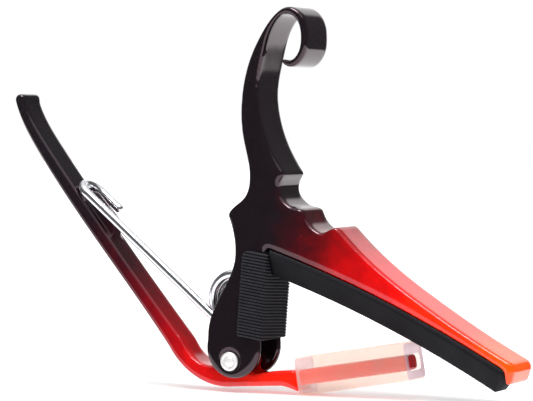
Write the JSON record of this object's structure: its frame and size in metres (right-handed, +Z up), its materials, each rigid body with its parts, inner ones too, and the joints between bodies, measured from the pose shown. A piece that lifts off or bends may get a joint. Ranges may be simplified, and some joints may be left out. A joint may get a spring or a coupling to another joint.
{
  "type": "guitar capo",
  "caption": "Sprung guitar capo: a frame with a curled handle and an arched string bar, a squeezed lever with a soft neck sleeve, and a coil spring that closes the jaw.",
  "frame": {"origin": "on the pivot rivet's axis, at mid width", "axes": "+X along the object from the squeezed lever to the tip of the string bar, +Y across the width, +Z up"},
  "size_m": [0.1354, 0.0144, 0.0926],
  "materials": {
    "frame_paint": "gloss clear coat over a black to red to orange fade",
    "lever_paint": "gloss clear coat over a black to red fade",
    "spring_wire": "bright zinc-plated wire",
    "rivet_nickel": "nickel plate",
    "pad_rubber": "matte moulded",
    "tape": "foam adhesive tape",
    "sleeve_silicone": "translucent milky silicone",
    "webbing": "ribbed woven nylon",
    "glue": "dried contact adhesive"
  },
  "bodies": {
    "frame": {"upper_frame": "frame_paint", "pivot_rivet": "rivet_nickel", "string_pad": "pad_rubber", "string_pad_tape": "tape", "webbing_guard": "webbing", "webbing_glue": "glue"},
    "lever": {"lower_lever": "lever_paint", "neck_sleeve": "sleeve_silicone"},
    "spring": {"torsion_spring": "spring_wire"}
  },
  "joints": [
    {"name": "lever_pivot", "type": "hinge", "parent": "frame", "child": "lever", "pos_m": [0, 0, 0], "axis": [0, 1, 0], "range_deg": [0, 30], "stiffness_Nm_per_rad": 0.9, "springref_deg": -20.05, "deforming": ["torsion_spring"]},
    {"name": "spring_leg", "type": "hinge", "parent": "frame", "child": "spring", "pos_m": [-0.0011, 0, 0.0145], "axis": [0, 1, 0], "range_deg": [0, 38.4], "deforming": ["torsion_spring"]}
  ],
  "couplings": [
    {"joint": "spring_leg", "follows": "lever_pivot", "ratio": 1.275}
  ]
}
